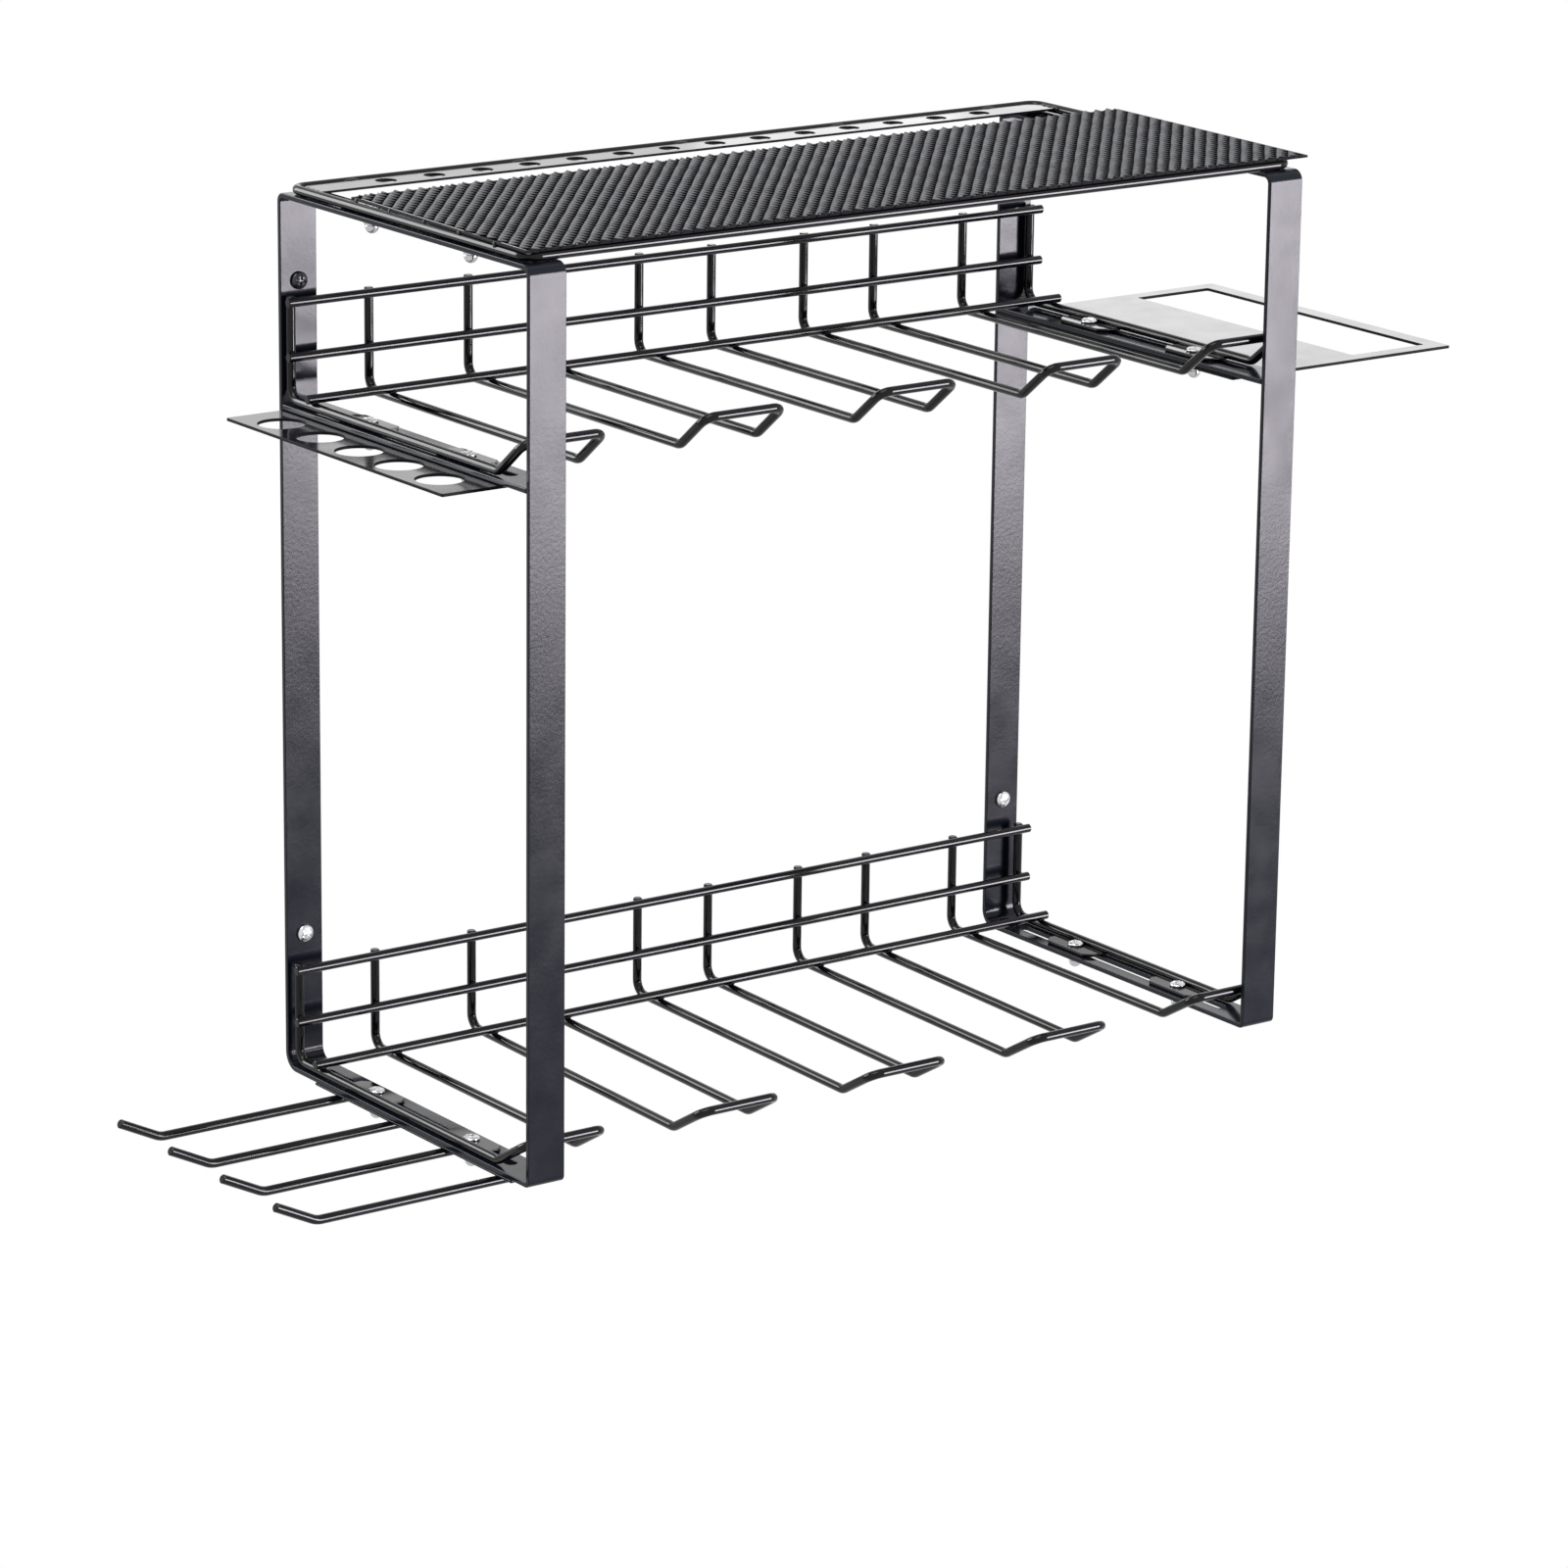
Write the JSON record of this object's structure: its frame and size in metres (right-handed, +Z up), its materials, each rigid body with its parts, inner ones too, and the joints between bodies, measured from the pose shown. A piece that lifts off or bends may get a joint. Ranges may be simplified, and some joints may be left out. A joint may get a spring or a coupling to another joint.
{
  "type": "wall mounted power tool organizer",
  "caption": "Black steel wall rack for power tools: side frames carry a mesh shelf, rows of wire prongs, a plate with round holes, a plate with a cut-out and a bar of hooks.",
  "frame": {"origin": "on the wall plane, midway between the side frames, level with their undersides", "axes": "+X along the wall to the right as seen from the room, +Y into the wall, +Z up"},
  "size_m": [0.693, 0.2267, 0.4511],
  "materials": {
    "bar_coat": "semi-gloss black powder coat",
    "wire_coat": "gloss black coat",
    "sheet_coat": "semi-gloss black powder coat",
    "mesh_coat": "satin dark coat",
    "zinc": "bright zinc plate",
    "nickel": "polished nickel plate",
    "black_steel": "blackened steel"
  },
  "bodies": {
    "root": {"left_side_frame": "bar_coat", "left_mid_strip": "bar_coat", "right_side_frame": "bar_coat", "right_mid_strip": "bar_coat", "shelf_rim": "wire_coat", "shelf_hole_strip": "sheet_coat", "shelf_mesh": "mesh_coat", "upper_top_rail": "wire_coat", "upper_middle_rail": "wire_coat", "upper_low_rail": "wire_coat", "upper_prong_1": "wire_coat", "upper_prong_2": "wire_coat", "upper_prong_3": "wire_coat", "upper_prong_4": "wire_coat", "upper_prong_5": "wire_coat", "lower_top_rail": "wire_coat", "lower_middle_rail": "wire_coat", "lower_low_rail": "wire_coat", "lower_prong_1": "wire_coat", "lower_prong_2": "wire_coat", "lower_prong_3": "wire_coat", "lower_prong_4": "wire_coat", "lower_prong_5": "wire_coat", "hole_plate": "sheet_coat", "tool_plate": "sheet_coat", "hook_base": "bar_coat", "hook_1": "wire_coat", "hook_2": "wire_coat", "hook_3": "wire_coat", "hook_4": "wire_coat", "lower_left_rear_screw": "zinc", "lower_left_rear_cap_nut": "nickel", "lower_left_front_screw": "zinc", "lower_left_front_cap_nut": "nickel", "lower_right_rear_screw": "zinc", "lower_right_rear_cap_nut": "nickel", "lower_right_front_screw": "zinc", "lower_right_front_cap_nut": "nickel", "upper_left_rear_screw": "zinc", "upper_left_rear_cap_nut": "nickel", "upper_left_front_screw": "zinc", "upper_left_front_cap_nut": "nickel", "upper_right_rear_screw": "zinc", "upper_right_rear_cap_nut": "nickel", "upper_right_front_screw": "zinc", "upper_right_front_cap_nut": "nickel", "shelf_left_rear_screw": "zinc", "shelf_left_rear_cap_nut": "nickel", "shelf_left_front_screw": "zinc", "shelf_left_front_cap_nut": "nickel", "shelf_right_rear_screw": "zinc", "shelf_right_rear_cap_nut": "nickel", "shelf_right_front_screw": "zinc", "shelf_right_front_cap_nut": "nickel", "left_low_wall_screw": "zinc", "left_high_wall_screw": "black_steel", "right_low_wall_screw": "zinc", "right_high_wall_screw": "zinc"}
  },
  "joints": []
}
